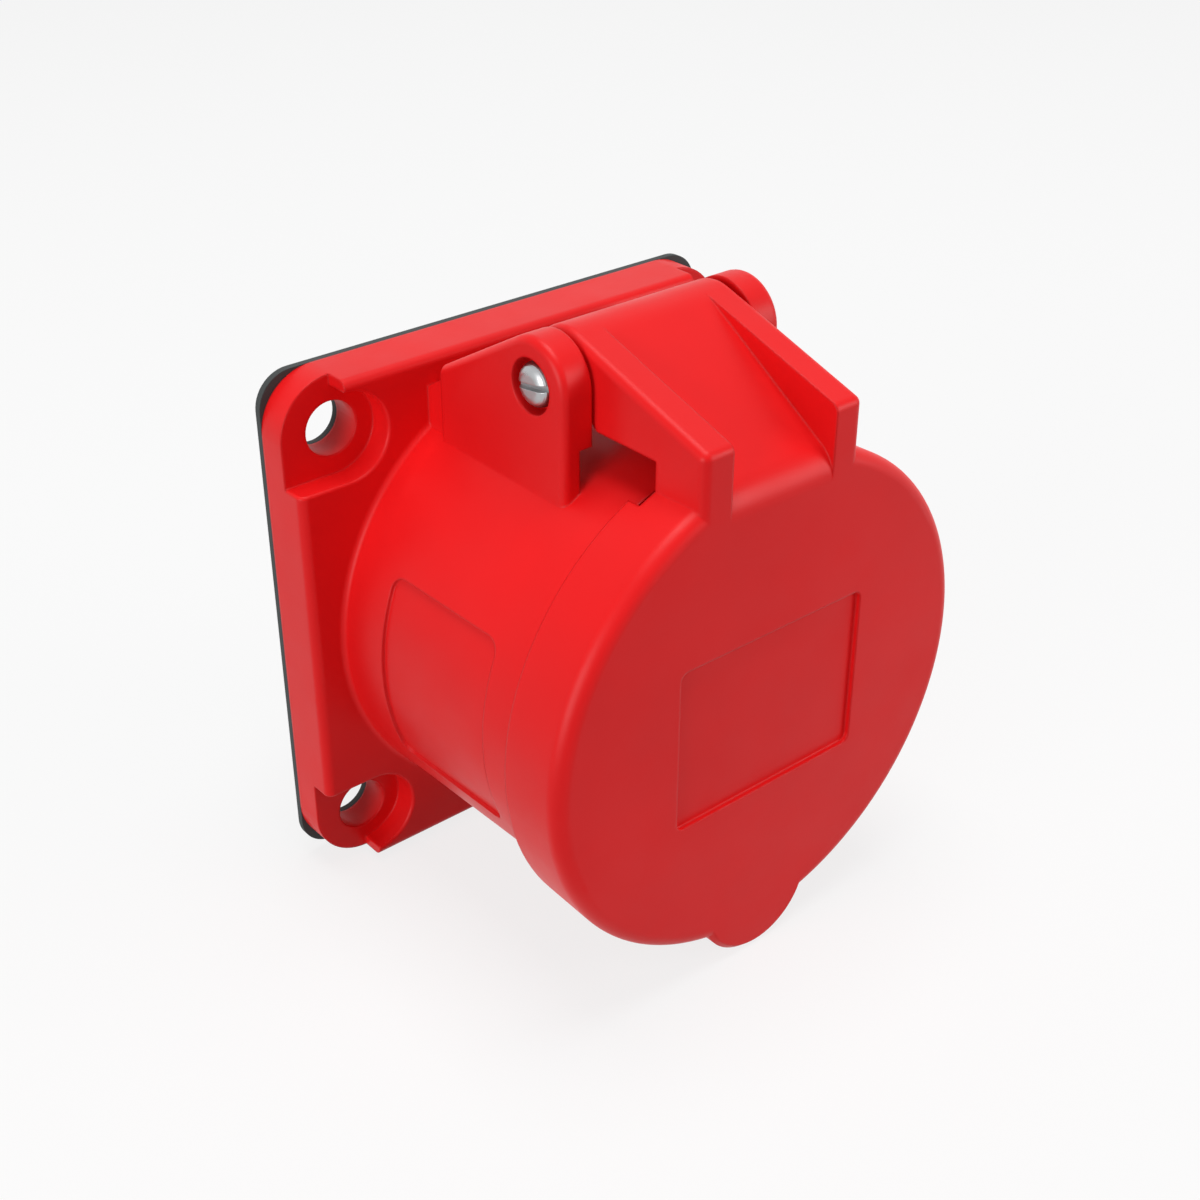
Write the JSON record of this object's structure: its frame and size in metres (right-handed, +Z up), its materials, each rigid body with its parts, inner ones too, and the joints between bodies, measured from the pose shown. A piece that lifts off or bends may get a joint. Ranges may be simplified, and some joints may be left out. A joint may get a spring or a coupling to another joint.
{
  "type": "industrial panel socket",
  "caption": "Red panel-mount power socket: square gasketed flange, round collar and a sprung hinged lid over pin-and-sleeve contacts.",
  "frame": {"origin": "centre of the four fixing holes on the mounting face, which is the gasket's rear face; the collar's axis passes through it", "axes": "+X right, +Y back into the enclosure, +Z up; the lid faces -Y"},
  "size_m": [0.075, 0.0711, 0.0862],
  "materials": {
    "red_plastic": "satin",
    "gasket_rubber": "matte",
    "seal_rubber": "matte",
    "pin_steel": "satin",
    "spring_steel": "satin",
    "screw_steel": "satin",
    "insert_plastic": "matte",
    "contact_brass": "satin"
  },
  "bodies": {
    "base": {"housing": "red_plastic", "panel_gasket": "gasket_rubber", "hinge_screw": "pin_steel", "hinge_spring": "spring_steel", "contact_carrier": "insert_plastic", "terminal_block": "insert_plastic", "contact_pe": "contact_brass", "contact_l1": "contact_brass", "contact_l2": "contact_brass", "contact_l3": "contact_brass", "contact_n": "contact_brass", "spring_ring_pe": "spring_steel", "spring_ring_l1": "spring_steel", "spring_ring_l2": "spring_steel", "spring_ring_l3": "spring_steel", "spring_ring_n": "spring_steel", "terminal_screws": "screw_steel", "ear_screws": "screw_steel", "block_screw": "screw_steel"},
    "lid": {"lid": "red_plastic", "lid_seal": "seal_rubber"}
  },
  "joints": [
    {"name": "lid_hinge", "type": "hinge", "parent": "base", "child": "lid", "pos_m": [0, -0.0318, 0.0412], "axis": [-1, 0, 0], "range_deg": [0, 120], "stiffness_Nm_per_rad": 0.08, "springref_deg": -57.3, "deforming": ["hinge_spring"]}
  ]
}
